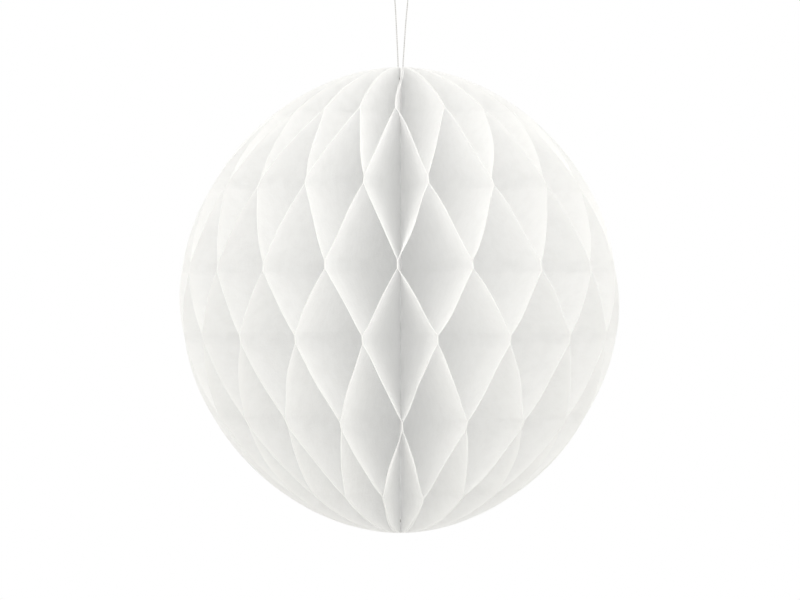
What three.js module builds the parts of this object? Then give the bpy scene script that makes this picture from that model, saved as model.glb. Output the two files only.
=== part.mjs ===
// Honeycomb paper ball on a hanging thread: forty half-disc tissue leaves, glued to each other in
// staggered lines and fanned out round their straight edges until the two cover cards meet.
// Millimetres, +Z up along the spine, origin at the middle of the ball, seam of the covers at +Y.

import * as THREE from 'three';

// Ball: height along the spine, width across the opened leaves, and how full the outline is
// (the exponent of its superellipse, 2 for a true ellipse).
const BALL_HEIGHT = 200;
const BALL_WIDTH = 188;
const RIM_FULLNESS = 1.9;

// Tissue leaves. The number is even, so that the leaves glue up in pairs all the way round.
const LEAF_COUNT = 40;
const TISSUE_THICKNESS = 0.12;
const TIP_WIDTH = 1;

// How a ball opened by hand differs from an even fan, in degrees: leaves pushed round towards the
// right on both flanks, leaves drawn to the front from the left, and a slight twist of the front.
const FAN_PUSH = 4.2;
const FAN_DRAW = 1.8;
const FAN_TWIST = 2;

// Glue lines: strips across the leaf from the spine to the rim, every second one on each face.
const GLUE_LINES = 6;
const GLUE_PITCH = 32.1;
const GLUE_STRIP = 4.2;
const GLUE_SHIFT = -2.3;
const GLUE_FILM = 0.12;
const CELL_ROUNDING = 0.5;

// Cover cards at the seam and the double-sided tape that holds them face to face.
const CARD_THICKNESS = 0.4;
const TAPE_THICKNESS = 0.2;
const TAPE_WIDTH = 12;
const TAPE_LENGTH = 60;
const TAPE_RIM_MARGIN = 14;
const TAPE_SPACING = 80;
const TAPE_CORNER = 2;

// Thread: the binding stitches through both ends of the spine and the hanging loop.
const THREAD_DIAMETER = 0.6;
const STITCH_INSET = 5;
const KNOT_WRAPS = 3;
const CLEARANCE = 0.3;

// How finely the curved forms are divided.
const SPAN_STEPS = 3;
const CAP_STEPS = 2;
const THREAD_SIDES = 8;
const THREAD_STEPS = 50;
const RING_SIDES = 6;
const RING_STEPS = 24;
const KNOT_STEPS = 12;
const WRAP_STEPS = 4;
const CORNER_STEPS = 3;

// Route of the hanging loop: up from the knot on the left, over the top and down on the right.
const LOOP_ROUTE = [
  [-0.85, 0, 96.2],
  [-0.95, 0, 98.5],
  [-1.05, 0, 101.0],
  [-1.16, 0, 105.0],
  [-1.4, 0, 110.0],
  [-1.64, 0, 115.0],
  [-1.86, 0, 119.5],
  [-2.08, 0, 124.0],
  [-2.36, 0, 128.0],
  [-2.54, 0, 131.0],
  [-2.3, 0, 133.4],
  [-1.25, 0, 135.3],
  [0.35, 0, 136.0],
  [1.95, 0, 135.3],
  [3.0, 0, 133.4],
  [3.24, 0, 131.0],
  [3.06, 0, 128.0],
  [2.7, 0, 124.0],
  [2.3, 0, 119.5],
  [1.96, 0, 115.0],
  [1.66, 0, 110.0],
  [1.32, 0, 105.0],
  [1.1, 0, 101.0],
  [0.97, 0, 98.5],
  [0.85, 0, 96.2],
];

// Finishes of the pieces.
const TISSUE = { color: 0xf5f6f1, roughness: 0.9, metalness: 0 };
const CARD = { color: 0xefeee8, roughness: 0.75, metalness: 0 };
const TAPE = { color: 0xe9ece9, roughness: 0.5, metalness: 0 };
const THREAD = { color: 0xe4e4e0, roughness: 0.8, metalness: 0 };

// What follows from the sizes above.
const HALF_HEIGHT = BALL_HEIGHT / 2;
const HALF_WIDTH = BALL_WIDTH / 2;
const LEAF_ANGLE = (2 * Math.PI) / LEAF_COUNT;

// Half the seam: half the tape, the card and the glue on both sides of it, up to the first leaf.
const CARD_INNER_FACE = TAPE_THICKNESS / 2 + GLUE_FILM;
const CARD_OUTER_FACE = CARD_INNER_FACE + CARD_THICKNESS;
const SEAM_HALF = CARD_OUTER_FACE + GLUE_FILM / 2;

// Each leaf takes its own thickness, a film of glue and its share of the seam. The bore is where the
// closed pad of leaves, bent into a ring, has just enough room where the fan is tightest.
const LEAF_PITCH = TISSUE_THICKNESS + GLUE_FILM + (2 * SEAM_HALF) / LEAF_COUNT;
const FAN_TIGHTEST = 1 - THREE.MathUtils.degToRad(FAN_PUSH + FAN_DRAW);
const BORE_RADIUS = LEAF_PITCH / (2 * Math.tan(LEAF_ANGLE / 2) * FAN_TIGHTEST);
const TIP_RADIUS = BORE_RADIUS + TIP_WIDTH;

// The stitch lies in a slot in the straight edge of each leaf, flush with the bore.
const THREAD_RADIUS = THREAD_DIAMETER / 2;
const STITCH_RADIUS = BORE_RADIUS + THREAD_RADIUS;
const STITCH_HEIGHT = HALF_HEIGHT - STITCH_INSET;
const SLOT_BOTTOM = STITCH_RADIUS + THREAD_RADIUS + CLEARANCE;
const SLOT_HALF_BOTTOM = THREAD_RADIUS + CLEARANCE;
const SLOT_HALF_MOUTH = SLOT_HALF_BOTTOM + CLEARANCE;
const KNOT_RADIUS = BORE_RADIUS - CLEARANCE;

// Radius of the ball's outline at a height, and the height at which it has a radius.
function rimRadius(z) {
  const share = Math.min(Math.abs(z) / HALF_HEIGHT, 1);
  const radius = HALF_WIDTH * (1 - share ** RIM_FULLNESS) ** (1 / RIM_FULLNESS);
  return Math.max(radius, TIP_RADIUS);
}

function rimHeight(radius) {
  const share = radius / HALF_WIDTH;
  return HALF_HEIGHT * (1 - share ** RIM_FULLNESS) ** (1 / RIM_FULLNESS);
}

// Radius of a leaf's straight edge: the bore, or deeper in the slot of a stitch.
function spineRadius(z) {
  const fromStitch = Math.abs(Math.abs(z) - STITCH_HEIGHT);
  const slope = (SLOT_HALF_MOUTH - fromStitch) / (SLOT_HALF_MOUTH - SLOT_HALF_BOTTOM);
  return THREE.MathUtils.lerp(BORE_RADIUS, SLOT_BOTTOM, THREE.MathUtils.clamp(slope, 0, 1));
}

// Height of a glue line, the first at the top.
function glueHeight(line) {
  return GLUE_SHIFT + GLUE_PITCH * ((GLUE_LINES - 1) / 2 - line);
}

// Heights at which a leaf is divided, from the top down: the edges of the glue strips, a few steps
// across each span between them, the slots of the stitches, and the caps on both sides of the slots
// in equal steps of the rim's radius.
function leafHeights() {
  const heights = [HALF_HEIGHT, -HALF_HEIGHT];
  for (let line = 0; line < GLUE_LINES; line++) {
    heights.push(glueHeight(line) + GLUE_STRIP / 2, glueHeight(line) - GLUE_STRIP / 2);
  }
  for (let line = 1; line < GLUE_LINES; line++) {
    const spanTop = glueHeight(line - 1) - GLUE_STRIP / 2;
    const spanBottom = glueHeight(line) + GLUE_STRIP / 2;
    for (let step = 1; step < SPAN_STEPS; step++) {
      heights.push(THREE.MathUtils.lerp(spanTop, spanBottom, step / SPAN_STEPS));
    }
  }
  for (const end of [1, -1]) {
    const lastLine = end > 0 ? 0 : GLUE_LINES - 1;
    const capRadius = rimRadius(glueHeight(lastLine) + (end * GLUE_STRIP) / 2);
    const slotRadii = [1, -1].map((side) => rimRadius(STITCH_HEIGHT - side * SLOT_HALF_MOUTH));
    for (const [outer, inner] of [[capRadius, slotRadii[0]], [slotRadii[1], TIP_RADIUS]]) {
      for (let step = 1; step < CAP_STEPS; step++) {
        heights.push(end * rimHeight(THREE.MathUtils.lerp(outer, inner, step / CAP_STEPS)));
      }
    }
    for (const half of [SLOT_HALF_MOUTH, SLOT_HALF_BOTTOM]) {
      heights.push(end * (STITCH_HEIGHT + half), end * (STITCH_HEIGHT - half));
    }
  }
  return heights.sort((a, b) => b - a);
}

// Lean of a leaf at a height: 1 where it is glued to the next leaf, -1 where to the one before, and
// between two glue lines an even swing that rounds off towards the glue. Beyond the last glue line
// the leaf keeps its lean up to the pole.
function leafLean(leaf, z) {
  const atEvenLines = leaf % 2 === 0 ? 1 : -1;
  const place = (glueHeight(0) - z) / GLUE_PITCH;
  const line = THREE.MathUtils.clamp(Math.floor(place), 0, GLUE_LINES - 2);
  const free = 1 - GLUE_STRIP / GLUE_PITCH;
  const swing = THREE.MathUtils.clamp((place - line - 0.5) / free + 0.5, 0, 1);
  const eased = THREE.MathUtils.lerp(swing, THREE.MathUtils.smoothstep(swing, 0, 1), CELL_ROUNDING);
  const before = line % 2 === 0 ? atEvenLines : -atEvenLines;
  return before * (1 - 2 * eased);
}

// Angle from the seam of the ray between a leaf and the next one, at a height. The seam itself stays
// straight, and the front, half a turn away, takes the full twist.
function gapAngle(gap, z) {
  const even = gap * LEAF_ANGLE;
  const uneven = FAN_PUSH * Math.sin(even) ** 2 - FAN_DRAW * Math.sin(even);
  const twist = FAN_TWIST * (z / HALF_HEIGHT) * Math.sin(even / 2) ** 2;
  return even + THREE.MathUtils.degToRad(uneven - twist);
}

// A point of a leaf: out along a ray that swings between the rays on both sides of the leaf, and set
// off sideways by the leaf's place in the pad, so that glued faces stay one film of glue apart.
function leafPoint(leaf, radius, z, side) {
  const lean = leafLean(leaf, z);
  const angle = THREE.MathUtils.lerp(gapAngle(leaf - 1, z), gapAngle(leaf, z), (1 + lean) / 2);
  const seamShare = SEAM_HALF * (1 - (2 * leaf - 1) / LEAF_COUNT);
  const offset = seamShare - (lean * LEAF_PITCH) / 2 + (side * TISSUE_THICKNESS) / 2;
  const x = -radius * Math.sin(angle) - offset * Math.cos(angle);
  const y = radius * Math.cos(angle) - offset * Math.sin(angle);
  return new THREE.Vector3(x, y, z);
}

// A closed sheet from a plane of one column and many rows: both faces are cut into the same
// triangles, so the sheet keeps its thickness where it twists, and a wall runs round the edge.
function sheetGeometry(rows, place) {
  const face = new THREE.PlaneGeometry(1, 1, 1, rows);
  const faceSize = face.attributes.position.count;
  const points = [];
  for (const side of [-1, 1]) {
    for (let i = 0; i < faceSize; i++) {
      points.push(place(i % 2, Math.floor(i / 2), side));
    }
  }
  const index = [];
  for (let i = 0; i < face.index.count; i += 3) {
    const corners = [face.index.getX(i), face.index.getX(i + 1), face.index.getX(i + 2)];
    index.push(corners[0], corners[1], corners[2]);
    index.push(corners[0] + faceSize, corners[2] + faceSize, corners[1] + faceSize);
  }
  const edge = [];
  for (let row = 0; row <= rows; row++) {
    edge.push(2 * row);
  }
  for (let row = rows; row >= 0; row--) {
    edge.push(2 * row + 1);
  }
  edge.forEach((from, i) => {
    const to = edge[(i + 1) % edge.length];
    index.push(from, from + faceSize, to);
    index.push(to, from + faceSize, to + faceSize);
  });
  const geometry = new THREE.BufferGeometry().setFromPoints(points);
  geometry.setIndex(index);
  geometry.computeVertexNormals();
  return geometry;
}

function leafGeometry(leaf) {
  const heights = leafHeights();
  return sheetGeometry(heights.length - 1, (column, row, side) => {
    const z = heights[row];
    const radius = column === 0 ? spineRadius(z) : rimRadius(z);
    return leafPoint(leaf, radius, z, side);
  });
}

// A cover card: the outline of a leaf, punched flat from card and stood upright beside the seam.
function cardGeometry() {
  const heights = leafHeights();
  const outline = heights.map((z) => new THREE.Vector2(rimRadius(z), z));
  for (const z of heights.toReversed()) {
    outline.push(new THREE.Vector2(spineRadius(z), z));
  }
  const options = { depth: CARD_THICKNESS, bevelEnabled: false };
  const geometry = new THREE.ExtrudeGeometry(new THREE.Shape(outline), options);
  return standUpright(geometry);
}

// Turns a flat piece, drawn with its width along X and its height along Y, so that it stands in the
// seam: width out along +Y, height along +Z, thickness along +X.
function standUpright(geometry) {
  const upright = new THREE.Matrix4();
  upright.makeBasis(new THREE.Vector3(0, 1, 0), new THREE.Vector3(0, 0, 1), new THREE.Vector3(1, 0, 0));
  return geometry.applyMatrix4(upright);
}

// A strip of double-sided tape with rounded corners.
function tapeGeometry() {
  const halfWidth = TAPE_WIDTH / 2 - TAPE_CORNER;
  const halfLength = TAPE_LENGTH / 2 - TAPE_CORNER;
  const strip = new THREE.Shape();
  strip.absarc(halfWidth, halfLength, TAPE_CORNER, 0, Math.PI / 2);
  strip.absarc(-halfWidth, halfLength, TAPE_CORNER, Math.PI / 2, Math.PI);
  strip.absarc(-halfWidth, -halfLength, TAPE_CORNER, Math.PI, 1.5 * Math.PI);
  strip.absarc(halfWidth, -halfLength, TAPE_CORNER, 1.5 * Math.PI, 2 * Math.PI);
  const options = { depth: TAPE_THICKNESS, bevelEnabled: false, curveSegments: CORNER_STEPS };
  return standUpright(new THREE.ExtrudeGeometry(strip, options));
}

function stitchGeometry() {
  return new THREE.TorusGeometry(STITCH_RADIUS, THREAD_RADIUS, RING_SIDES, RING_STEPS);
}

// A knot: a few wraps of the thread drawn up into a barrel that fills the bore inside the stitch.
function knotGeometry() {
  const profile = [new THREE.Vector2(0, (-KNOT_WRAPS * THREAD_DIAMETER) / 2)];
  const coreRadius = KNOT_RADIUS - THREAD_RADIUS;
  for (let wrap = 0; wrap < KNOT_WRAPS; wrap++) {
    const middle = (wrap - (KNOT_WRAPS - 1) / 2) * THREAD_DIAMETER;
    for (let step = wrap === 0 ? 0 : 1; step <= WRAP_STEPS; step++) {
      const turn = Math.PI * (step / WRAP_STEPS - 0.5);
      const radius = coreRadius + THREAD_RADIUS * Math.cos(turn);
      profile.push(new THREE.Vector2(radius, middle + THREAD_RADIUS * Math.sin(turn)));
    }
  }
  profile.push(new THREE.Vector2(0, (KNOT_WRAPS * THREAD_DIAMETER) / 2));
  const geometry = new THREE.LatheGeometry(profile, KNOT_STEPS);
  return geometry.rotateX(Math.PI / 2);
}

// The hanging loop: a round thread swept along its route.
function loopGeometry() {
  const route = new THREE.CatmullRomCurve3(LOOP_ROUTE.map((point) => new THREE.Vector3(...point)));
  const corners = [];
  for (let side = 0; side < THREAD_SIDES; side++) {
    const turn = (2 * Math.PI * side) / THREAD_SIDES;
    corners.push(new THREE.Vector2(THREAD_RADIUS * Math.cos(turn), THREAD_RADIUS * Math.sin(turn)));
  }
  const section = new THREE.Shape(corners);
  return new THREE.ExtrudeGeometry(section, { steps: THREAD_STEPS, extrudePath: route });
}

function piece(name, geometry, finish) {
  const mesh = new THREE.Mesh(geometry, new THREE.MeshStandardMaterial(finish));
  mesh.name = name;
  return mesh;
}

function tissueLeaves() {
  const leaves = new THREE.Group();
  for (let leaf = 1; leaf <= LEAF_COUNT; leaf++) {
    const name = `leaf_${String(leaf).padStart(2, '0')}`;
    leaves.add(piece(name, leafGeometry(leaf), TISSUE));
  }
  return leaves;
}

// The two cards stand back to back, with the strips of tape between them towards the rim.
function seam() {
  const covers = new THREE.Group();
  const left = piece('cover_card_left', cardGeometry(), CARD);
  left.position.x = -CARD_OUTER_FACE;
  const right = piece('cover_card_right', cardGeometry(), CARD);
  right.position.x = CARD_INNER_FACE;
  covers.add(left, right);
  for (const [name, end] of [['closure_tape_upper', 1], ['closure_tape_lower', -1]]) {
    const tape = piece(name, tapeGeometry(), TAPE);
    const outermost = rimRadius((TAPE_SPACING + TAPE_LENGTH) / 2);
    const out = outermost - TAPE_RIM_MARGIN - TAPE_WIDTH / 2;
    tape.position.set(-TAPE_THICKNESS / 2, out, (end * TAPE_SPACING) / 2);
    covers.add(tape);
  }
  return covers;
}

// Both ends of the spine are bound by a stitch through every leaf, drawn up on a knot.
function binding() {
  const stitches = new THREE.Group();
  for (const [place, end] of [['top', 1], ['bottom', -1]]) {
    const stitch = piece(`${place}_stitch`, stitchGeometry(), THREAD);
    const knot = piece(`${place}_knot`, knotGeometry(), THREAD);
    stitch.position.z = end * STITCH_HEIGHT;
    knot.position.z = end * STITCH_HEIGHT;
    stitches.add(stitch, knot);
  }
  return stitches;
}

const ball = new THREE.Group();
ball.name = 'honeycomb_ball';
ball.add(tissueLeaves(), seam(), binding());
ball.add(piece('hanging_thread', loopGeometry(), THREAD));

export default ball;
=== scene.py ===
"""Honeycomb paper ball on a loop of thread, dressed for the studio.

Forty half-disc leaves of tissue are glued in staggered lines, bound at both ends of the spine and
fanned out all the way round. The cover cards meet in the seam at the back. Lengths are in metres,
angles in degrees.
"""
import logging
import math
import random
from dataclasses import dataclass
from enum import Enum

import bmesh
import bpy
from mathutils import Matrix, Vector


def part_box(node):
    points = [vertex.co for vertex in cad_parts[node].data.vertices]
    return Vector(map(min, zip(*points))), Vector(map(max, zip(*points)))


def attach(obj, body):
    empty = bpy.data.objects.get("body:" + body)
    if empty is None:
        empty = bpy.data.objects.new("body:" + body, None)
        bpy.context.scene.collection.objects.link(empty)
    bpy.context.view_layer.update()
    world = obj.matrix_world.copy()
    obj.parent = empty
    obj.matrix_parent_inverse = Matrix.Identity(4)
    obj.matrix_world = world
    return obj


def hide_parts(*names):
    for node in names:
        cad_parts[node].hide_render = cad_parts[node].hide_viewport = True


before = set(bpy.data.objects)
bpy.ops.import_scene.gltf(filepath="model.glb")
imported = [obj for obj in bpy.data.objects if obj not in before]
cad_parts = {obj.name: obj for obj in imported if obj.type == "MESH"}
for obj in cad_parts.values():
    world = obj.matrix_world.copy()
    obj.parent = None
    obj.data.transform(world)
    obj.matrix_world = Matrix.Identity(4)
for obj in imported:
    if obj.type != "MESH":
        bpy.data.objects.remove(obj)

LOG = logging.getLogger("paper_ball")
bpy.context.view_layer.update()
BODY = "root"
SEED = 4104
SHEET_UV = "sheet"
CUT_EDGE = "cut_edge"
TAPES = ("closure_tape_upper", "closure_tape_lower")
RIGHT = Vector((1.0, 0.0, 0.0))
BACK = Vector((0.0, 1.0, 0.0))
UP = Vector((0.0, 0.0, 1.0))

Colour = tuple[float, float, float, float]
Span = tuple[float, float]
Triple = tuple[float, float, float]
Piece = bpy.types.Object
Material = bpy.types.Material
Node = bpy.types.Node
Socket = bpy.types.NodeSocket
Sockets = bpy.types.NodeOutputs
Shape = bmesh.types.BMesh
Ring = list[bmesh.types.BMVert]
Faces = list[bmesh.types.BMFace]
Places = dict[bmesh.types.BMVert, Span]

WHOLE: Span = (0.0, 1.0)
NOISE_SPAN: Span = (0.3, 0.7)


class Slot(Enum):
    """The record's material slots of the pieces that are built here."""

    TISSUE = "tissue"
    CARD = "card"
    THREAD = "thread"


class End(Enum):
    """The two ends of the spine, by the sign of their height."""

    TOP = 1
    BOTTOM = -1


class Cover(Enum):
    """The two cover cards, by their CAD nodes."""

    LEFT = "cover_card_left"
    RIGHT = "cover_card_right"


def smoothstep(share: float) -> float:
    """Eases a share from 0 to 1 with a level start and end."""
    held = min(max(share, 0.0), 1.0)
    return held * held * (3 - 2 * held)


def blend(first: float, second: float, share: float) -> float:
    """Goes from one value to another by a share."""
    return first + (second - first) * share


def colour(red: float, green: float, blue: float) -> Colour:
    """Gives a linear colour with full alpha."""
    return (red, green, blue, 1.0)


WHITE = colour(1.0, 1.0, 1.0)


def link_piece(name: str, data: bpy.types.ID) -> Piece:
    """Makes an object of a mesh, lamp or camera and puts it in the scene, at the origin."""
    piece = bpy.data.objects.new(name, data)
    bpy.context.scene.collection.objects.link(piece)
    return piece


def piece_of(name: str, shape: Shape) -> Piece:
    """Turns a finished bmesh into a smooth piece in the scene and frees the bmesh."""
    for face in shape.faces:
        face.smooth = True
    mesh = bpy.data.meshes.new(name)
    shape.to_mesh(mesh)
    shape.free()
    return link_piece(name, mesh)


def apply_modifiers(piece: Piece, sharp_angle: float) -> None:
    """Applies a piece's modifiers to its mesh and marks its sharp edges.

    Args:
        piece: The piece.
        sharp_angle: The angle between faces, from which an edge counts as sharp.
    """
    graph = bpy.context.evaluated_depsgraph_get()
    made = bpy.data.meshes.new_from_object(piece.evaluated_get(graph), depsgraph=graph)
    rough = piece.data
    piece.modifiers.clear()
    piece.data = made
    bpy.data.meshes.remove(rough)
    made.name = piece.name
    made.set_sharp_from_angle(angle=math.radians(sharp_angle))


def dress(piece: Piece, material: Material, node: str) -> None:
    """Gives a piece its finish, sets it on the body and says which CAD node it stands for.

    Args:
        piece: The piece.
        material: Its material.
        node: The CAD node's name.
    """
    piece.data.materials.clear()
    piece.data.materials.append(material)
    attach(piece, BODY)
    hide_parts(node)
    LOG.info("%s: %d faces for %s", piece.name, len(piece.data.polygons), node)


class NodeBench:
    """Adds and links the nodes of one material, world or node group."""

    def __init__(self, tree: bpy.types.NodeTree) -> None:
        """Takes the tree to work on and empties it."""
        self.tree = tree
        tree.nodes.clear()

    def add(self, kind: str, **settings: object) -> Node:
        """Adds a node.

        Args:
            kind: The node's type, without its ShaderNode or Node prefix.
            **settings: Values of the node's own properties.

        Returns:
            The node.
        """
        prefix = "Node" if kind in ("GroupInput", "GroupOutput") else "ShaderNode"
        node = self.tree.nodes.new(prefix + kind)
        for name, value in settings.items():
            setattr(node, name, value)
        return node

    def feed(self, node: Node, **sockets: object) -> Node:
        """Fills a node's inputs, each by a value or from another node's output.

        Args:
            node: The node.
            **sockets: Inputs by name, with _ for a space, or i0, i1 and so on by place.

        Returns:
            The same node.
        """
        for name, value in sockets.items():
            by_place = name[0] == "i" and name[1:].isdigit()
            into = node.inputs[int(name[1:]) if by_place else name.replace("_", " ")]
            if isinstance(value, Socket):
                self.tree.links.new(value, into)
            else:
                into.default_value = value
        return node

    def math(self, operation: str, first: object, second: object = 0.0) -> Socket:
        """Adds a Math node for two values or sockets and gives its result."""
        node = self.add("Math", operation=operation)
        return self.feed(node, i0=first, i1=second).outputs[0]

    def spread(self, value: object, given: Span, wanted: Span = WHOLE) -> Socket:
        """Maps a value smoothly from one range to another, and holds it there.

        Args:
            value: The value's socket.
            given: The start and end of its range.
            wanted: What the start and the end become.

        Returns:
            The result's socket.
        """
        node = self.add("MapRange", interpolation_type="SMOOTHSTEP")
        self.feed(node, Value=value, From_Min=given[0], From_Max=given[1])
        return self.feed(node, To_Min=wanted[0], To_Max=wanted[1]).outputs["Result"]

    def mix(self, share: object, first: object, second: object) -> Socket:
        """Mixes two colours by the share of the second."""
        node = self.add("Mix", data_type="RGBA")
        return self.feed(node, i0=share, i6=first, i7=second).outputs[2]

    def mix_shaders(self, share: object, first: Node, second: Node) -> Node:
        """Mixes two shaders by the share of the second."""
        node = self.add("MixShader")
        return self.feed(node, i0=share, i1=first.outputs[0], i2=second.outputs[0])

    def axes(self, place: Socket) -> list[Socket]:
        """Takes a place or direction apart into the sockets of its x, y and z."""
        return list(self.feed(self.add("SeparateXYZ"), Vector=place).outputs)

    def stretch(self, place: Socket, scale: Triple) -> Socket:
        """Scales a place along each axis, which stretches the pattern that is read there."""
        return self.feed(self.add("Mapping"), Vector=place, Scale=scale).outputs[0]

    def noise(self, place: Socket, scale: object, detail: float, roughness: float = 0.5) -> Socket:
        """Adds a noise pattern.

        Args:
            place: Where it is read.
            scale: How fine it is.
            detail: How many finer layers it has.
            roughness: How strong the finer layers are.

        Returns:
            The socket of the noise, which stays mostly inside NOISE_SPAN.
        """
        node = self.add("TexNoise")
        self.feed(node, Vector=place, Scale=scale, Detail=detail, Roughness=roughness)
        return node.outputs[0]

    def seen(self) -> Socket:
        """Gives 1 for the rays that show a background, and 0 for those that light the ball."""
        rays = self.add("LightPath").outputs
        shown = self.math("MAXIMUM", rays["Is Camera Ray"], rays["Is Glossy Ray"])
        return self.math("MAXIMUM", shown, rays["Is Transmission Ray"])


@dataclass(frozen=True)
class PaperFibre:
    """Pressed paper fibre: a node group that the tissue and the card share.

    Its lays are the two ways that the fibres run, by the scale of their pattern along x, y and z.
    """

    name: str = "paper_fibre"
    lays: tuple[Triple, Triple] = ((1.0, 1.0, 0.35), (0.4, 0.4, 1.0))
    fibre_detail: float = 3.0
    fibre_roughness: float = 0.6
    cloud_detail: float = 4.0
    cloud_roughness: float = 0.55

    def group(self) -> bpy.types.NodeTree:
        """Gives the node group, and builds it at its first use.

        Returns:
            The group. Fibre is the fine felted grain, Cloud the wide unevenness of the pulp seen
            against light, and Height both of them as a relief.
        """
        if self.name in bpy.data.node_groups:
            return bpy.data.node_groups[self.name]
        group = bpy.data.node_groups.new(self.name, "ShaderNodeTree")
        group.interface.new_socket("Place", in_out="INPUT", socket_type="NodeSocketVector")
        for way, names in (
            ("INPUT", ("Fibre Scale", "Cloud Scale", "Grain Share")),
            ("OUTPUT", ("Fibre", "Cloud", "Height")),
        ):
            for name in names:
                group.interface.new_socket(name, in_out=way, socket_type="NodeSocketFloat")
        bench = NodeBench(group)
        given = bench.add("GroupInput").outputs
        place, grain = given["Place"], given["Grain Share"]
        strands = []
        for lay in self.lays:
            laid = bench.stretch(place, lay)
            strands.append(
                bench.noise(laid, given["Fibre Scale"], self.fibre_detail, self.fibre_roughness)
            )
        fibre = bench.math("MULTIPLY", bench.math("ADD", *strands), 1 / len(strands))
        cloud = bench.noise(place, given["Cloud Scale"], self.cloud_detail, self.cloud_roughness)
        cockle = bench.math("MULTIPLY", cloud, bench.math("SUBTRACT", 1.0, grain))
        height = bench.math("ADD", bench.math("MULTIPLY", fibre, grain), cockle)
        bench.feed(bench.add("GroupOutput"), Fibre=fibre, Cloud=cloud, Height=height)
        return group


class MaterialBench(NodeBench):
    """The bench of one new material."""

    def __init__(self, name: str) -> None:
        """Makes the material."""
        self.material = bpy.data.materials.new(name)
        self.material.use_nodes = True
        super().__init__(self.material.node_tree)

    def place(self) -> Socket:
        """Gives the place in the piece's own coordinates."""
        return self.add("TexCoord").outputs["Object"]

    def sheet_place(self) -> Socket:
        """Gives the place on the flat leaf, or round and along a ply of the thread."""
        return self.add("UVMap", uv_map=SHEET_UV).outputs[0]

    def paper(self, fibre_scale: float, cloud_scale: float, grain_share: float) -> Sockets:
        """Places the group of paper fibre.

        Args:
            fibre_scale: How fine the fibres are.
            cloud_scale: How fine the clouds of the pulp are.
            grain_share: How much of the relief is fibre. The rest is cloud.

        Returns:
            The group's outputs.
        """
        group = self.add("Group", node_tree=PaperFibre().group())
        self.feed(group, Place=self.place(), Fibre_Scale=fibre_scale, Cloud_Scale=cloud_scale)
        return self.feed(group, Grain_Share=grain_share).outputs

    def relief(self, height: Socket, strength: float, depth: float) -> Socket:
        """Turns a height into a normal, as a relief of some strength and depth."""
        bump = self.add("Bump")
        return self.feed(bump, Strength=strength, Distance=depth, Height=height).outputs[0]

    def skin(self, tint: Socket, roughness: Socket, normal: Socket, **plain: float) -> Node:
        """Adds the main shader, with plain inputs for what is the same all over the surface."""
        shader = self.add("BsdfPrincipled")
        self.feed(shader, Base_Color=tint, Roughness=roughness, Normal=normal, **plain)
        return shader

    def finish(self, shader: Node) -> Material:
        """Puts a shader on the material's output and gives the finished material."""
        self.feed(self.add("OutputMaterial"), Surface=shader.outputs[0])
        return self.material


@dataclass(frozen=True)
class TissueFinish:
    """Thin white tissue: matt, a little see-through, with felted fibre and a painted highlight
    along the round edge.
    """

    name: str = "white_tissue"
    thin: Colour = colour(0.957, 0.958, 0.959)
    dense: Colour = colour(0.993, 0.994, 0.995)
    # edge is a painted highlight: the paler tint of a band along the round edge, which stands in
    # for the light that falls on the open rim.
    edge: Colour = colour(0.988, 0.988, 0.987)
    through: Colour = colour(0.991, 0.991, 0.991)
    through_share: float = 0.3
    # The width of the painted highlight band along the round edge, and the share of it at full
    # tint.
    highlight_width: float = 0.0035
    highlight_core: float = 0.3
    fibre_scale: float = 1100.0
    cloud_scale: float = 230.0
    grain_share: float = 0.4
    fibre_weight: float = 0.8
    flock_span: Span = (0.68, 1.08)
    relief: float = 0.7
    relief_depth: float = 0.0004
    roughness: Span = (0.86, 0.97)
    specular: float = 0.2

    def material(self) -> Material:
        """Builds the material."""
        bench = MaterialBench(self.name)
        paper = bench.paper(self.fibre_scale, self.cloud_scale, self.grain_share)
        fibre = bench.math("MULTIPLY", paper["Fibre"], self.fibre_weight)
        flock = bench.math("ADD", paper["Cloud"], fibre)
        pulp = bench.mix(bench.spread(flock, self.flock_span), self.thin, self.dense)
        # Painted highlight: near the round edge the paper turns to the edge tint, for the light
        # that falls on the open rim.
        inset = bench.axes(bench.sheet_place())[0]
        fade = (self.highlight_width * self.highlight_core, self.highlight_width)
        tint = bench.mix(bench.spread(inset, fade, (1.0, 0.0)), pulp, self.edge)
        normal = bench.relief(paper["Height"], self.relief, self.relief_depth)
        rough = bench.spread(paper["Fibre"], NOISE_SPAN, self.roughness)
        skin = bench.skin(tint, rough, normal, Specular_IOR_Level=self.specular)
        glow = bench.feed(bench.add("BsdfTranslucent"), Color=self.through, Normal=normal)
        return bench.finish(bench.mix_shaders(self.through_share, skin, glow))


@dataclass(frozen=True)
class CardFinish:
    """Plain white cover card, smoother and denser than the tissue."""

    name: str = "white_card"
    pale: Colour = colour(0.86, 0.86, 0.83)
    deep: Colour = colour(0.80, 0.80, 0.77)
    fibre_scale: float = 650.0
    cloud_scale: float = 60.0
    grain_share: float = 0.7
    mottle_span: Span = (0.35, 0.65)
    relief: float = 0.25
    relief_depth: float = 0.0001
    roughness: Span = (0.66, 0.80)
    specular: float = 0.35

    def material(self) -> Material:
        """Builds the material."""
        bench = MaterialBench(self.name)
        paper = bench.paper(self.fibre_scale, self.cloud_scale, self.grain_share)
        tint = bench.mix(bench.spread(paper["Fibre"], self.mottle_span), self.deep, self.pale)
        normal = bench.relief(paper["Height"], self.relief, self.relief_depth)
        rough = bench.spread(paper["Cloud"], NOISE_SPAN, self.roughness)
        return bench.finish(bench.skin(tint, rough, normal, Specular_IOR_Level=self.specular))


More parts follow.
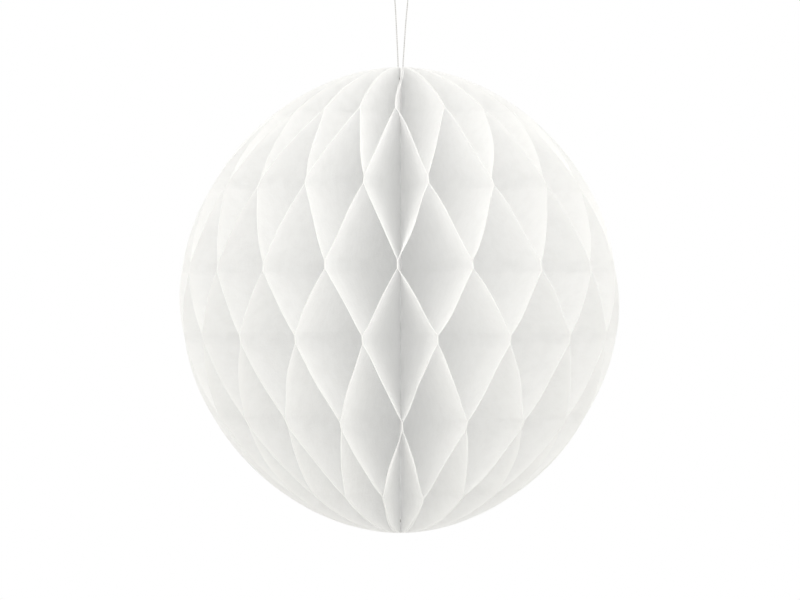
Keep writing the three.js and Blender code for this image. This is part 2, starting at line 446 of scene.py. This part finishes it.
@dataclass(frozen=True)
class TapeFinish:
    """Frosted double-sided tape."""

    name: str = "frosted_tape"
    film: Colour = colour(0.80, 0.82, 0.80)
    gum: Colour = colour(0.74, 0.75, 0.70)
    speck_scale: float = 420.0
    speck_detail: float = 3.0
    gum_span: Span = (0.4, 0.65)
    relief: float = 0.15
    relief_depth: float = 0.0001
    roughness: Span = (0.42, 0.58)

    def material(self) -> Material:
        """Builds the material."""
        bench = MaterialBench(self.name)
        specks = bench.noise(bench.place(), self.speck_scale, self.speck_detail)
        tint = bench.mix(bench.spread(specks, self.gum_span), self.film, self.gum)
        normal = bench.relief(specks, self.relief, self.relief_depth)
        rough = bench.spread(specks, NOISE_SPAN, self.roughness)
        return bench.finish(bench.skin(tint, rough, normal))


@dataclass(frozen=True)
class ThreadFinish:
    """White sewing thread: fine fibres that run along each ply."""

    name: str = "white_thread"
    pale: Colour = colour(0.80, 0.80, 0.785)
    deep: Colour = colour(0.62, 0.62, 0.61)
    fibres_round: float = 26.0
    fibres_along: float = 1.5
    fibre_detail: float = 4.0
    fibre_roughness: float = 0.6
    relief: float = 0.4
    relief_depth: float = 0.00004
    roughness: Span = (0.7, 0.9)
    sheen: float = 0.2
    specular: float = 0.3

    def material(self) -> Material:
        """Builds the material."""
        bench = MaterialBench(self.name)
        lay = bench.stretch(bench.sheet_place(), (self.fibres_round, self.fibres_along, 1.0))
        fibre = bench.noise(lay, 1.0, self.fibre_detail, self.fibre_roughness)
        tint = bench.mix(bench.spread(fibre, NOISE_SPAN), self.deep, self.pale)
        normal = bench.relief(fibre, self.relief, self.relief_depth)
        rough = bench.spread(fibre, NOISE_SPAN, self.roughness)
        plain = {"Sheen_Weight": self.sheen, "Specular_IOR_Level": self.specular}
        return bench.finish(bench.skin(tint, rough, normal, **plain))


@dataclass(frozen=True)
class Wander:
    """A smooth hand-made wander along a line: waves, each with its size, length and start."""

    waves: tuple[Triple, ...]

    @classmethod
    def seeded(
        cls, draw: random.Random, size: float, lengths: tuple[float, ...], least: float = 0.4
    ) -> "Wander":
        """Draws a wander.

        Args:
            draw: The seeded source.
            size: The most that the waves reach together.
            lengths: The length of each wave.
            least: The smallest wave beside a largest of 1.

        Returns:
            The wander.
        """
        shares = [draw.uniform(least, 1.0) for _ in lengths]
        sizes = [size * share / sum(shares) for share in shares]
        starts = [draw.uniform(0.0, math.tau) for _ in lengths]
        return cls(tuple(zip(sizes, lengths, starts)))

    def at(self, place: float) -> float:
        """Gives the wander at a place along the line."""
        turns = ((size, math.tau * place / length + start) for size, length, start in self.waves)
        return sum(size * math.sin(turn) for size, turn in turns)


@dataclass(frozen=True)
class GluePattern:
    """The glue lines of the pad.

    Attributes:
        heights: The height of each line, counted from the top.
        strip: The height of a line's strip of glue.
        rounding: How much a fold eases out at the glue, from 0 for straight to 1.
        unevenness: How far a line may lie from its height.
    """

    heights: tuple[float, ...] = (0.0807, 0.0483, 0.0138, -0.0157, -0.0504, -0.0829)
    strip: float = 0.0036
    rounding: float = 0.06
    unevenness: float = 0.0005


@dataclass
class LeafPad:
    """The pad of tissue leaves, fanned out from the seam by the left side, the front and round."""

    glue: GluePattern
    finish: TissueFinish
    half_height: float
    card_face: float
    # The cut leaf. An ellipse has a fullness of 2.
    leaves: int = 40
    half_width: float = 0.094
    fullness: float = 1.9
    tissue: float = 0.00012
    cut_edge: float = 0.00022
    film: float = 0.00012
    tip: float = 0.001
    # The stitch slots in the straight edge.
    slot_height: float = 0.095
    slot_depth: float = 0.0009
    slot_half_mouth: float = 0.00036
    slot_half_bottom: float = 0.00031
    # The straight edge, pressed towards the axis where no knot or strand is in the way.
    core: float = 0.00015
    core_run: float = 0.0004
    knot_reach: float = 0.00105
    strands_across: float = 0.0015
    strands_along: float = 0.00042
    sliver: float = 0.00005
    # The fan as a hand opens it, in degrees.
    fan_push: float = 4.2
    fan_draw: float = 1.8
    fan_twist: float = 2.0
    fan_turn: float = -0.45
    crown_turn: float = 2.5
    cap_sway: float = 3.0
    front_sway: float = 5.0
    ray_wander: float = 0.20
    ray_waves: tuple[float, ...] = (0.19, 0.083, 0.047)
    # The soft paper: its billow and its opening at the poles are shares of a leaf's swing.
    billow: float = 0.07
    billow_slant: float = 0.6
    billow_waves: tuple[float, ...] = (0.071, 0.043, 0.027)
    cap_opening: float = 0.12
    lip: float = 0.0008
    lip_waves: tuple[float, ...] = (0.127, 0.071)
    lip_depth: float = 0.004
    flare: float = 0.0008
    left_fullness: float = 0.009
    # The mesh.
    columns: int = 20
    column_crowding: float = 1.95
    span_rows: int = 20
    strip_rows: int = 2
    cap_rows: int = 14
    sharp_angle: float = 50.0

    def __post_init__(self) -> None:
        """Works out the spine and draws the hand-made unevenness."""
        self.seam_half = self.card_face + self.film / 2
        self.step = math.tau / self.leaves
        self.pitch = self.tissue + self.film + 2 * self.seam_half / self.leaves
        tightest = 1 - math.radians(self.fan_push + self.fan_draw)
        self.bore = self.pitch / (2 * math.tan(self.step / 2) * tightest)
        self.front = self.leaves // 2
        draw = random.Random(SEED)
        gaps = range(self.leaves + 1)
        self.rays = [Wander.seeded(draw, self.ray_wander, self.ray_waves) for _ in gaps]
        self.folds = [Wander.seeded(draw, self.billow, self.billow_waves) for _ in gaps]
        self.lips = [Wander.seeded(draw, self.lip, self.lip_waves) for _ in gaps]
        sway, uneven = self.cap_sway, self.glue.unevenness
        self.sways = [{end: draw.uniform(-sway, sway) for end in End} for _ in gaps]
        self.sways[self.front][End.TOP] = self.front_sway
        self.slips = [[draw.uniform(-uneven, uneven) for _ in self.glue.heights] for _ in gaps]

    def looseness(self, gap: int) -> float:
        """Says how free a gap's ray is to wander: not at the flat covers, fully at the front."""
        return math.sin(gap * self.step / 2) ** 2

    def rim_radius(self, z: float) -> float:
        """Gives the radius of the leaves' round edge at a height."""
        share = min(abs(z) / self.half_height, 1.0)
        full = self.half_width * (1 - share**self.fullness) ** (1 / self.fullness)
        return max(full, self.bore + self.tip)

    def spine_radius(self, z: float) -> float:
        """Gives the radius of the leaves' straight edge at a height, with the stitch slots."""
        off = abs(abs(z) - self.slot_height)
        mouth = (self.slot_half_mouth - off) / (self.slot_half_mouth - self.slot_half_bottom)
        return self.bore + self.slot_depth * min(max(mouth, 0.0), 1.0)

    def core_radius(self, leaf: int, z: float) -> float:
        """Gives the radius that a leaf's pressed straight edge reaches.

        Args:
            leaf: The leaf's number, from 1.
            z: The height.

        Returns:
            The radius: near the axis, but at the strands of the hanging loop above the top knot
            and at the bore beside a knot.
        """
        reach = self.core
        if z > self.slot_height:
            angle = (self.ray_angle(leaf - 1, z) + self.ray_angle(leaf, z)) / 2
            along = abs(math.cos(angle)) / self.strands_along
            across = abs(math.sin(angle)) / self.strands_across
            reach = 1 / max(along, across)
        past_knot = (abs(abs(z) - self.slot_height) - self.knot_reach) / self.core_run
        return blend(self.spine_radius(z) - self.sliver, reach, smoothstep(past_knot))

    def radius_at(self, leaf: int, column: int, z: float) -> float:
        """Gives the radius of a column of a leaf's mesh.

        Args:
            leaf: The leaf's number, from 1.
            column: The column's number: 0 at the axis, 1 at the bore, the last at the round edge.
            z: The height.

        Returns:
            The radius.
        """
        if column == 0:
            return self.core_radius(leaf, z)
        inset = ((self.columns - column) / (self.columns - 1)) ** self.column_crowding
        return blend(self.rim_radius(z), self.spine_radius(z), inset)

    def line_heights(self, leaf: int) -> list[float]:
        """Gives the heights of a leaf's glue lines, each as its glued neighbour has it."""
        heights = []
        for line, height in enumerate(self.glue.heights):
            gap = leaf if (leaf + line) % 2 == 0 else leaf - 1
            heights.append(height + self.slips[gap][line] * self.looseness(gap))
        return heights

    def cap_share(self, z: float) -> float:
        """Says how far a height is from the last glue line towards its pole."""
        last = self.glue.heights[0] if z > 0 else -self.glue.heights[-1]
        start = last + self.glue.strip / 2
        return smoothstep((abs(z) - start) / (self.half_height - start))

    def crown_share(self, z: float) -> float:
        """Says how far a height is from the second glue line up to the first."""
        first, second = self.glue.heights[:2]
        return smoothstep((z - second) / (first - second))

    def lean(self, leaf: int, lines: list[float], z: float) -> float:
        """Says where a leaf stands between its two neighbours.

        Args:
            leaf: The leaf's number, from 1.
            lines: The heights of its glue lines.
            z: The height.

        Returns:
            1 where it is glued to the next leaf and -1 where it is glued to the one before.
        """
        at_even = 1.0 if leaf % 2 == 0 else -1.0
        if z >= lines[0] or z <= lines[-1]:
            held = at_even if z >= lines[0] else -at_even
            return held * (1 - self.cap_opening * self.cap_share(z))
        line = next(number for number in range(len(lines) - 1) if z >= lines[number + 1])
        span = lines[line] - lines[line + 1]
        place = (lines[line] - z) / span
        free = 1 - self.glue.strip / span
        swing = min(max((place - 0.5) / free + 0.5, 0.0), 1.0)
        eased = blend(swing, smoothstep(swing), self.glue.rounding)
        stand = 1 - 2 * eased
        if 0 < swing < 1:
            half = self.glue.strip / 2
            upper = self.rim_radius(lines[line] - half)
            lower = self.rim_radius(lines[line + 1] + half)
            stand = blend(upper, -lower, eased) / self.rim_radius(z)
        return stand * (at_even if line % 2 == 0 else -at_even)

    def ray_angle(self, gap: int, z: float) -> float:
        """Gives the angle of the ray between two leaves, from the seam, in radians.

        Args:
            gap: The gap's number, which is that of the leaf before it.
            z: The height.

        Returns:
            The angle.
        """
        even = gap * self.step
        uneven = self.fan_push * math.sin(even) ** 2 - self.fan_draw * math.sin(even)
        twist = self.fan_twist * (z / self.half_height)
        sway = self.sways[gap][End.TOP if z > 0 else End.BOTTOM] * self.cap_share(z)
        if gap != self.front:
            sway += self.crown_turn * self.crown_share(z)
        loose = (self.fan_turn + self.rays[gap].at(z) + sway - twist) * self.looseness(gap)
        return even + math.radians(uneven + loose)

    def leaf_point(self, leaf: int, lines: list[float], radius: float, z: float) -> Vector:
        """Gives a point of a leaf's middle surface.

        Args:
            leaf: The leaf's number, from 1.
            lines: The heights of its glue lines.
            radius: The distance from the axis.
            z: The height.

        Returns:
            The point.
        """
        stand = self.lean(leaf, lines, z)
        free = 1 - stand * stand
        billow = self.folds[leaf].at(z + self.billow_slant * radius)
        stand += free * billow * radius / self.half_width
        angle = blend(self.ray_angle(leaf - 1, z), self.ray_angle(leaf, z), (1 + stand) / 2)
        offset = self.seam_half * (1 - (2 * leaf - 1) / self.leaves) - stand * self.pitch / 2
        offset *= min(radius / self.bore, 1.0)
        curl = max(1 - (self.rim_radius(z) - radius) / self.lip_depth, 0.0) ** 2
        offset += curl * free * (self.lips[leaf].at(z) - self.flare * stand)
        across, along = math.sin(angle), math.cos(angle)
        radius *= 1 + self.left_fullness * ((1 + across) / 2) ** 2
        return Vector((-radius * across - offset * along, radius * along - offset * across, z))

    def row_heights(self, lines: list[float]) -> list[float]:
        """Spreads the rows of a leaf's mesh over its height, from the bottom.

        Args:
            lines: The heights of its glue lines.

        Returns:
            The heights: close rows at the poles, and rows at both edges of each glue line and
            stitch slot.
        """
        half = self.glue.strip / 2
        marks = [edge for line in lines for edge in (line + half, line - half)]
        rows = []
        for high, low in zip(marks, marks[1:]):
            count = self.strip_rows if high - low < 2 * self.glue.strip else self.span_rows
            rows += [blend(high, low, step / count) for step in range(count)]
        rows.append(marks[-1])
        for start, end in ((marks[0], End.TOP), (marks[-1], End.BOTTOM)):
            low = math.asin(start / self.half_height)
            turn = end.value * math.pi / 2 - low
            for step in range(1, self.cap_rows + 1):
                rows.append(self.half_height * math.sin(low + turn * step / self.cap_rows))
        slot = (self.slot_half_mouth, self.slot_half_bottom)
        for off in (*slot, self.knot_reach, self.knot_reach + self.core_run):
            for end in End:
                rows += [end.value * (self.slot_height + side * off) for side in (1, -1)]
        return sorted(rows)

    def build_leaf(self, leaf: int, material: Material) -> None:
        """Builds one leaf from a grid that is laid along its fold.

        Args:
            leaf: The leaf's number, from 1.
            material: The tissue.
        """
        lines = self.line_heights(leaf)
        rows = self.row_heights(lines)
        last_row = len(rows) - 1
        shape = bmesh.new()
        bmesh.ops.create_grid(shape, x_segments=self.columns, y_segments=last_row, size=0.5)
        uv = shape.loops.layers.uv.new(SHEET_UV)
        edge = shape.verts.layers.deform.verify()
        sheet = {}
        for vert in shape.verts:
            column = round((vert.co.x + 0.5) * self.columns)
            z = rows[round((vert.co.y + 0.5) * last_row)]
            radius = self.radius_at(leaf, column, z)
            sheet[vert] = (self.rim_radius(z) - radius, z)
            pressed = self.tissue / self.cut_edge * min(radius / self.bore, 1.0)
            vert[edge][0] = 1.0 if column == self.columns else pressed
            vert.co = self.leaf_point(leaf, lines, radius, z)
        for face in shape.faces:
            for loop in face.loops:
                loop[uv].uv = sheet[loop.vert]
        piece = piece_of(f"tissue_leaf_{leaf:02d}", shape)
        piece.vertex_groups.new(name=CUT_EDGE)
        wall = piece.modifiers.new("tissue", "SOLIDIFY")
        wall.thickness = self.cut_edge
        wall.offset = 0.0
        wall.vertex_group = CUT_EDGE
        apply_modifiers(piece, self.sharp_angle)
        dress(piece, material, f"leaf_{leaf:02d}")

    def build(self) -> None:
        """Builds all leaves."""
        material = self.finish.material()
        for leaf in range(1, self.leaves + 1):
            self.build_leaf(leaf, material)


@dataclass
class CoverCards:
    """The two flat cards that the first and last leaf are glued to, with tape between them."""

    pad: LeafPad
    card_finish: CardFinish
    tape_finish: TapeFinish
    rows: int = 96
    columns: int = 6
    edge_round: float = 0.00008
    edge_segments: int = 2

    def build_card(self, cover: Cover, material: Material) -> None:
        """Builds one card in the place of its CAD node.

        Args:
            cover: Which card.
            material: The card.
        """
        pad = self.pad
        low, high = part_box(cover.value)
        shape = bmesh.new()
        bmesh.ops.create_grid(shape, x_segments=self.columns, y_segments=self.rows, size=0.5)
        for vert in shape.verts:
            inset = 0.5 - vert.co.x
            z = pad.half_height * math.sin(vert.co.y * math.pi)
            y = blend(pad.rim_radius(z), max(pad.spine_radius(z), low.y), inset)
            vert.co = Vector(((low.x + high.x) / 2, y, z))
        bmesh.ops.recalc_face_normals(shape, faces=shape.faces)
        piece = piece_of(f"{cover.value}_sheet", shape)
        wall = piece.modifiers.new("card", "SOLIDIFY")
        wall.thickness = high.x - low.x
        wall.offset = 0.0
        soft = piece.modifiers.new("worn_edge", "BEVEL")
        soft.width = self.edge_round
        soft.segments = self.edge_segments
        soft.limit_method = "ANGLE"
        apply_modifiers(piece, pad.sharp_angle)
        dress(piece, material, cover.value)

    def build(self) -> None:
        """Builds both cards and gives the tape between them its finish."""
        card = self.card_finish.material()
        for cover in Cover:
            self.build_card(cover, card)
        tape = self.tape_finish.material()
        for node in TAPES:
            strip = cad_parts[node]
            strip.data.materials.clear()
            strip.data.materials.append(tape)
            LOG.info("%s: kept from the frame", node)


@dataclass(frozen=True)
class TwistedThread:
    """Sewing thread of twisted plies, laid along any path."""

    diameter: float = 0.0006
    plies: int = 2
    ply_share: float = 0.56
    twist_length: float = 0.0019
    steps_per_twist: int = 8
    sides: int = 6

    def start(self) -> Shape:
        """Starts a bmesh with a map for the fibres."""
        shape = bmesh.new()
        shape.loops.layers.uv.new(SHEET_UV)
        return shape

    def spaced(self, path: list[Vector], closed: bool) -> list[Vector]:
        """Spaces points evenly along a path, so that the twist has a whole number of steps.

        Args:
            path: Points close together.
            closed: Whether the path comes back to its start.

        Returns:
            The even points. A closed path's first point isn't repeated.
        """
        points = path + [path[0]] if closed else path
        runs = [0.0]
        for first, second in zip(points, points[1:]):
            runs.append(runs[-1] + (second - first).length)
        twists = max(round(runs[-1] / self.twist_length), 1)
        count = twists * self.steps_per_twist
        even = []
        place = 0
        for step in range(count if closed else count + 1):
            run = runs[-1] * step / count
            while place < len(runs) - 2 and runs[place + 1] < run:
                place += 1
            share = (run - runs[place]) / (runs[place + 1] - runs[place])
            even.append(points[place].lerp(points[place + 1], share))
        return even

    def lay(self, shape: Shape, path: list[Vector], up: Vector, closed: bool = False) -> None:
        """Lays all plies along a path, with their faces outwards.

        Args:
            shape: The bmesh to lay them in.
            path: Points close together.
            up: A direction that the path never runs along.
            closed: Whether the path comes back to its start.
        """
        points = self.spaced(path, closed)
        for ply in range(self.plies):
            self.lay_ply(shape, points, ply / self.plies, up, closed)
        bmesh.ops.recalc_face_normals(shape, faces=shape.faces)

    def lay_ply(
        self, shape: Shape, points: list[Vector], start: float, up: Vector, closed: bool
    ) -> None:
        """Lays one ply, ring by ring.

        Args:
            shape: The bmesh to lay it in.
            points: Even points along the thread.
            start: The share of a turn at which the ply starts.
            up: A direction that the thread never runs along.
            closed: Whether the thread comes back to its start.
        """
        uv = shape.loops.layers.uv.verify()
        radius = self.diameter * self.ply_share / 2
        last = len(points) - 1
        first = ring = None
        places = {}
        for number, point in enumerate(points):
            before = points[number - 1 if closed else max(number - 1, 0)]
            after = points[(number + 1) % len(points) if closed else min(number + 1, last)]
            along = (after - before).normalized()
            side = along.cross(up).normalized()
            over = side.cross(along)
            run = number / self.steps_per_twist
            turn = math.tau * (run + start)
            out = side * math.cos(turn) + over * math.sin(turn)
            centre = point + out * (self.diameter / 2 - radius)
            if ring is None:
                made = bmesh.ops.create_circle(shape, segments=self.sides, radius=radius)["verts"]
                first = list(made)
                faces = []
            else:
                made, faces = self.next_ring(shape, ring)
            for corner, vert in enumerate(made):
                angle = turn + math.tau * corner / self.sides
                vert.co = centre + (side * math.cos(angle) + over * math.sin(angle)) * radius
                places[vert] = (corner / self.sides, run)
            self.map_faces(faces, uv, places)
            ring = made
        if closed:
            end = len(points) / self.steps_per_twist
            places.update({vert: (places[vert][0], end) for vert in first})
            self.map_faces(self.close(shape, ring, first), uv, places)
        else:
            shape.faces.new(list(reversed(first)))
            shape.faces.new(ring)

    def ring_edges(self, shape: Shape, ring: Ring) -> list[bmesh.types.BMEdge]:
        """Gives the edges round a ring of vertices."""
        pairs = [(ring[corner - 1], ring[corner]) for corner in range(len(ring))]
        return [shape.edges.get(pair) for pair in pairs]

    def next_ring(self, shape: Shape, ring: Ring) -> tuple[Ring, Faces]:
        """Extrudes a ring of a ply by one step.

        Args:
            shape: The bmesh.
            ring: The last ring's vertices, in order.

        Returns:
            The new ring's vertices, in the same order, and the faces between.
        """
        edges = self.ring_edges(shape, ring)
        grown = bmesh.ops.extrude_edge_only(shape, edges=edges)["geom"]
        new = {item for item in grown if isinstance(item, bmesh.types.BMVert)}
        made = []
        for vert in ring:
            others = (edge.other_vert(vert) for edge in vert.link_edges)
            made.append(next(other for other in others if other in new))
        return made, [item for item in grown if isinstance(item, bmesh.types.BMFace)]

    def close(self, shape: Shape, last: Ring, first: Ring) -> Faces:
        """Joins a closed ply's last ring to its first and returns the faces between."""
        edges = self.ring_edges(shape, last) + self.ring_edges(shape, first)
        return bmesh.ops.bridge_loops(shape, edges=edges)["faces"]

    def map_faces(self, faces: Faces, uv: bmesh.types.BMLayerItem, places: Places) -> None:
        """Lays the fibres' map on the faces between two rings.

        Args:
            faces: The faces.
            uv: The map's layer.
            places: For each vertex, its share of the way round the ply and its run in twists.
        """
        last_share = (self.sides - 1) / self.sides
        for face in faces:
            past_last = any(places[vert][0] == last_share for vert in face.verts)
            for loop in face.loops:
                share, run = places[loop.vert]
                loop[uv].uv = (1.0 if past_last and share == 0.0 else share, run)


@dataclass
class Binding:
    """The stitch through every leaf at each end of the spine, and the knot that draws it up."""

    thread: TwistedThread
    wraps: float = 3.0
    points_per_turn: int = 48
    strand_steps: int = 12

    def measure(self, node: str) -> tuple[Vector, float, float]:
        """Measures how the thread's middle line runs in a CAD node.

        Args:
            node: The node's name.

        Returns:
            The node's middle, and the radius and height of the line's turns.
        """
        low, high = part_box(node)
        size = high - low
        return (low + high) / 2, (size.x - self.thread.diameter) / 2, size.z - self.thread.diameter

    def ring_path(self, centre: Vector, radius: float) -> list[Vector]:
        """Gives the path of a level ring."""
        count = self.points_per_turn
        turns = [math.tau * step / count for step in range(count)]
        ways = [RIGHT * math.cos(turn) + BACK * math.sin(turn) for turn in turns]
        return [centre + way * radius for way in ways]

    def coil_path(self, centre: Vector, radius: float, rise: float) -> list[Vector]:
        """Gives the path of the knot's wraps round its core.

        Args:
            centre: The knot's middle.
            radius: The wraps' radius.
            rise: How high the wraps reach together.

        Returns:
            The points.
        """
        count = round(self.wraps * self.points_per_turn)
        path = []
        for step in range(count + 1):
            share = step / count
            turn = math.tau * self.wraps * share
            level = (RIGHT * math.cos(turn) + BACK * math.sin(turn)) * radius
            path.append(centre + level + UP * (rise * (share - 0.5)))
        return path

    def build_stitch(self, end: End, material: Material) -> None:
        """Builds the stitch of one end."""
        node = f"{end.name.lower()}_stitch"
        middle, radius, _ = self.measure(node)
        shape = self.thread.start()
        self.thread.lay(shape, self.ring_path(middle, radius), UP, closed=True)
        dress(piece_of(f"{node}_ring", shape), material, node)

    def build_knot(self, end: End, material: Material) -> None:
        """Builds the knot of one end: wraps round a core of two strands."""
        node = f"{end.name.lower()}_knot"
        middle, radius, rise = self.measure(node)
        shape = self.thread.start()
        self.thread.lay(shape, self.coil_path(middle, radius, rise), UP)
        shares = [step / self.strand_steps for step in range(self.strand_steps + 1)]
        for side in (-1, 1):
            foot = middle + RIGHT * (side * self.thread.diameter / 2) - UP * (rise / 2)
            self.thread.lay(shape, [foot + UP * (rise * share) for share in shares], RIGHT)
        dress(piece_of(f"{node}_wraps", shape), material, node)

    def build(self, material: Material) -> None:
        """Builds both ends."""
        for end in End:
            self.build_stitch(end, material)
            self.build_knot(end, material)


@dataclass
class HangingLoop:
    """The loop of thread that the ball hangs on, tied into the top knot at both ends.

    Its route gives x and z of the points that the loop runs through, as the CAD node has them.
    """

    thread: TwistedThread
    route: tuple[Span, ...] = (
        (-0.00085, 0.0962), (-0.00095, 0.0985), (-0.00105, 0.1010), (-0.00116, 0.1050),
        (-0.00140, 0.1100), (-0.00164, 0.1150), (-0.00186, 0.1195), (-0.00208, 0.1240),
        (-0.00236, 0.1280), (-0.00254, 0.1310), (-0.00230, 0.1334), (-0.00125, 0.1353),
        (0.00035, 0.1360), (0.00195, 0.1353), (0.00300, 0.1334), (0.00324, 0.1310),
        (0.00306, 0.1280), (0.00270, 0.1240), (0.00230, 0.1195), (0.00196, 0.1150),
        (0.00166, 0.1100), (0.00132, 0.1050), (0.00110, 0.1010), (0.00097, 0.0985),
        (0.00085, 0.0962),
    )
    steps: int = 12

    def path(self) -> list[Vector]:
        """Runs a smooth line of close points through the route."""
        points = [Vector((x, 0.0, z)) for x, z in self.route]
        line = []
        for number in range(len(points) - 1):
            before = points[max(number - 1, 0)]
            first, second = points[number], points[number + 1]
            after = points[min(number + 2, len(points) - 1)]
            leave, arrive = (second - before) / 2, (after - first) / 2
            cubic = 2 * first - 2 * second + leave + arrive
            square = 3 * second - 3 * first - 2 * leave - arrive
            for step in range(self.steps):
                share = step / self.steps
                line.append(first + leave * share + square * share**2 + cubic * share**3)
        return line + [points[-1]]

    def build(self, material: Material) -> None:
        """Builds the loop and says what cord it is."""
        line = self.path()
        shape = self.thread.start()
        self.thread.lay(shape, line, BACK)
        piece = piece_of("hanging_loop_thread", shape)
        dress(piece, material, "hanging_thread")


@dataclass(frozen=True)
class Softbox:
    """One soft square lamp that faces the ball, with its power in watts."""

    name: str
    place: Triple
    side: float
    power: float

    def hang(self, tint: Colour) -> None:
        """Hangs the lamp in its place and tints its light."""
        lamp = bpy.data.lights.new(self.name, "AREA")
        lamp.color = tint[:3]
        lamp.size = self.side
        lamp.energy = self.power
        holder = link_piece(self.name, lamp)
        holder.location = self.place
        holder.rotation_euler = (-Vector(self.place)).to_track_quat("-Z", "Y").to_euler()


@dataclass
class Studio:
    """Camera, soft light and a pale floor far below the hanging ball."""

    softboxes: tuple[Softbox, ...] = (
        Softbox("left_softbox", (-1.3, -0.9, 0.35), 0.9, 1.33),
        Softbox("right_softbox", (1.3, -0.9, 0.35), 0.9, 1.52),
        Softbox("low_left_softbox", (-1.2, -0.9, -0.55), 0.9, 1.42),
        Softbox("low_right_softbox", (1.2, -0.9, -0.55), 0.9, 1.42),
        Softbox("front_softbox", (0.0, -1.7, 0.30), 0.8, 0.85),
        Softbox("back_left_softbox", (-1.2, 1.1, 0.45), 0.9, 1.42),
        Softbox("back_right_softbox", (1.2, 1.1, 0.45), 0.9, 1.33),
    )
    # The camera. Lens and sensor are in millimetres.
    distance: float = 1.128
    aside: float = -0.0002
    lens: float = 117.9
    sensor: float = 36.0
    sight: float = 50.0
    # The sky: its strength below and above, and the span of directions over which it changes.
    daylight: Colour = colour(1.0, 0.990, 0.955)
    sky_foot: float = 0.7
    sky_top: float = 1.06
    sky_span: Span = (-1.0, 0.1)
    # The floor.
    floor_tint: Colour = colour(0.66, 0.66, 0.65)
    floor_drop: float = 1.3
    floor_radius: float = 3.0
    floor_sides: int = 96
    floor_fade: Span = (0.8, 2.94)
    # How often light is passed on. After some bounces, a share of the sky stands for the rest.
    bounces: int = 40
    ambient_after: int = 12
    ambient_share: float = 0.86
    ambient_reach: float = 0.00001

    def set_camera(self) -> None:
        """Puts the camera level with the ball's middle."""
        lens = bpy.data.cameras.new("camera")
        lens.lens = self.lens
        lens.sensor_width = self.sensor
        lens.clip_end = self.sight
        camera = link_piece("camera", lens)
        camera.location = (self.aside, -self.distance, 0.0)
        camera.rotation_euler = (math.pi / 2, 0.0, 0.0)
        bpy.context.scene.camera = camera

    def set_world(self) -> None:
        """Lights the ball evenly from above and all round, less from below, before plain white."""
        world = bpy.data.worlds.new("studio")
        world.use_nodes = True
        world.light_settings.distance = self.ambient_reach
        world.light_settings.ao_factor = self.ambient_share
        bench = NodeBench(world.node_tree)
        height = bench.axes(bench.add("TexCoord").outputs["Generated"])[2]
        level = bench.spread(height, self.sky_span, (self.sky_foot, self.sky_top))
        light = bench.feed(bench.add("Background"), Color=self.daylight, Strength=level)
        plain = bench.feed(bench.add("Background"), Color=WHITE, Strength=1.0)
        both = bench.mix_shaders(bench.seen(), light, plain)
        bench.feed(bench.add("OutputWorld"), Surface=both.outputs[0])
        bpy.context.scene.world = world

    def floor_material(self) -> Material:
        """Builds the floor's pale finish, which fades to white at its edge."""
        bench = MaterialBench("pale_floor")
        squares = [bench.math("MULTIPLY", way, way) for way in bench.axes(bench.place())[:2]]
        reach = bench.math("SQRT", bench.math("ADD", *squares))
        share = bench.math("MULTIPLY", bench.spread(reach, self.floor_fade), bench.seen())
        matt = bench.feed(bench.add("BsdfDiffuse"), Color=self.floor_tint)
        white = bench.feed(bench.add("Emission"), Color=WHITE, Strength=1.0)
        return bench.finish(bench.mix_shaders(share, matt, white))

    def lay_floor(self) -> None:
        """Lays the floor."""
        shape = bmesh.new()
        bmesh.ops.create_circle(
            shape, cap_ends=True, segments=self.floor_sides, radius=self.floor_radius
        )
        bmesh.ops.translate(shape, vec=-UP * self.floor_drop, verts=shape.verts)
        floor = piece_of("floor", shape)
        floor.data.materials.append(self.floor_material())

    def build(self) -> None:
        """Sets up the whole studio."""
        self.set_camera()
        self.set_world()
        for softbox in self.softboxes:
            softbox.hang(self.daylight)
        self.lay_floor()
        scene = bpy.context.scene
        scene.view_settings.view_transform = "Standard"
        scene.cycles.max_bounces = self.bounces
        scene.cycles.diffuse_bounces = self.bounces
        scene.cycles.transmission_bounces = self.bounces
        scene.cycles.use_fast_gi = True
        scene.cycles.fast_gi_method = "REPLACE"
        scene.cycles.ao_bounces_render = self.ambient_after
        LOG.info("studio: camera %.3f m away", self.distance)


def main() -> None:
    """Builds the ball in its studio."""
    logging.basicConfig(level=logging.INFO, format="%(name)s %(message)s")
    Studio().build()
    thread = TwistedThread()
    cotton = ThreadFinish().material()
    HangingLoop(thread).build(cotton)
    Binding(thread).build(cotton)
    half_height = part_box("leaf_01")[1].z
    card_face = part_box(Cover.RIGHT.value)[1].x
    pad = LeafPad(GluePattern(), TissueFinish(), half_height, card_face)
    pad.build()
    CoverCards(pad, CardFinish(), TapeFinish()).build()


if __name__ == "__main__":
    main()
